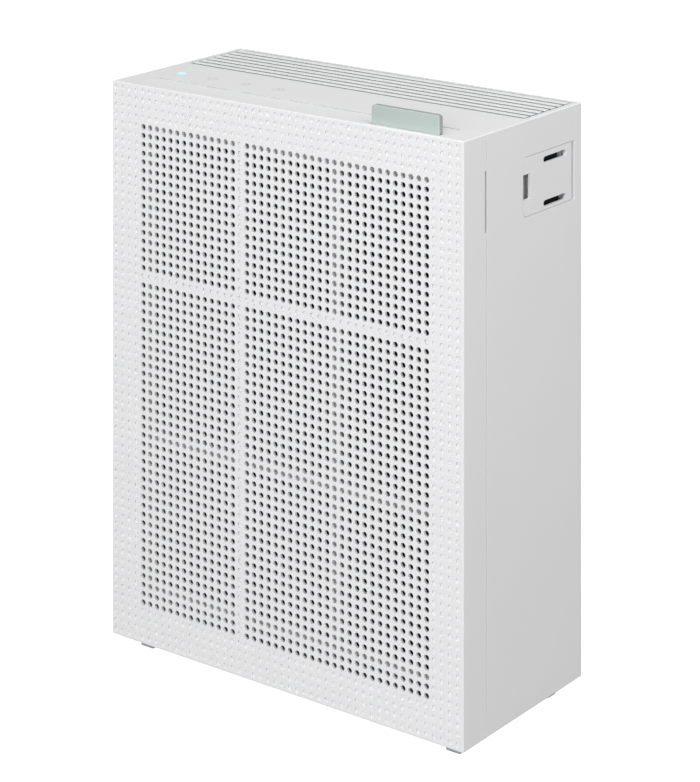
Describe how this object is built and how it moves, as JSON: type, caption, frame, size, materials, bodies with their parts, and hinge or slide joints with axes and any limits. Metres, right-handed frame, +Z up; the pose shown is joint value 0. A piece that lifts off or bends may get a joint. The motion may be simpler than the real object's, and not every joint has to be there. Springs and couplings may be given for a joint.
{
  "type": "air purifier",
  "caption": "Free-standing box air purifier with a pull-off perforated front, a lift-out pre-filter, a fan, a louvred top outlet and a hinged dust sensor door.",
  "frame": {"origin": "on the floor under the middle of the case", "axes": "+X to the viewer's right, front faces -Y, +Z up"},
  "size_m": [0.34, 0.165, 0.465],
  "materials": {
    "case_white": "fine matte moulded texture",
    "grille_white": "fine matte moulded texture",
    "louvre_white": "satin moulded",
    "tab_mint": "satin moulded, pale mint",
    "foot_grey": "matte soft rubber",
    "mesh_dark": "fine woven mesh",
    "media_white": "pleated non-woven paper",
    "filter_frame_white": "matte",
    "seal_foam": "closed-cell foam",
    "carbon_black": "granules in non-woven cloth",
    "strap_cloth": "woven tape",
    "inner_grey": "matte moulded",
    "inner_black": "matte moulded",
    "fan_black": "satin moulded",
    "brass": "turned",
    "steel": "ground",
    "zinc_steel": "zinc plated",
    "stator_steel": "laminated, varnished",
    "board_green": "solder mask",
    "parts_black": "moulded components",
    "light_clear": "lit frosted lens, pale cyan",
    "lens_clear": "clear lens edge",
    "lead_black": "cable sheath",
    "lead_grey": "cable sheath"
  },
  "bodies": {
    "housing": {"rear_case": "case_white", "outlet_louvre": "louvre_white", "filter_bay": "inner_grey", "inlet_guard": "inner_black", "filter_frame": "filter_frame_white", "filter_media": "media_white", "filter_seal": "seal_foam", "carbon_sheet": "carbon_black", "filter_strap": "strap_cloth", "fan_scroll": "inner_grey", "scroll_back": "inner_grey", "motor_case": "inner_black", "motor_stator": "stator_steel", "bearing_front": "steel", "bearing_rear": "steel", "motor_screws": "zinc_steel", "housing_screws": "zinc_steel", "sensor_tray": "case_white", "sensor_body": "inner_black", "sensor_lens": "lens_clear", "control_board": "board_green", "touch_springs": "zinc_steel", "light_guide": "inner_black", "light_lens": "light_clear", "main_board": "board_green", "board_parts": "parts_black", "board_screws": "zinc_steel", "power_inlet": "inner_black", "inlet_pins": "brass", "power_lead": "lead_black", "motor_lead": "lead_grey", "sensor_lead": "lead_grey", "control_lead": "lead_grey", "foot_front_left": "foot_grey", "foot_front_right": "foot_grey", "foot_rear_left": "foot_grey", "foot_rear_right": "foot_grey"},
    "front_cover": {"front_grille": "grille_white", "cover_frame": "grille_white"},
    "prefilter": {"prefilter_frame": "case_white", "prefilter_mesh": "mesh_dark", "prefilter_tab": "tab_mint"},
    "sensor_door": {"sensor_door": "case_white"},
    "fan": {"impeller": "fan_black", "hub_insert": "brass", "hub_nut": "zinc_steel", "motor_rotor": "steel", "motor_shaft": "steel"}
  },
  "joints": [
    {"name": "cover_slide", "type": "slide", "parent": "housing", "child": "front_cover", "axis": [0, -1, 0], "range_m": [0, 0.06]},
    {"name": "prefilter_slide", "type": "slide", "parent": "housing", "child": "prefilter", "axis": [0, 0, 1], "range_m": [0, 0.415]},
    {"name": "sensor_door_hinge", "type": "hinge", "parent": "housing", "child": "sensor_door", "pos_m": [0.1652, 0.0662, 0.4004], "axis": [0, 0, 1], "range_deg": [0, 90]},
    {"name": "fan_spin", "type": "hinge", "parent": "housing", "child": "fan", "pos_m": [0, 0, 0.195], "axis": [0, 1, 0], "continuous": true}
  ]
}
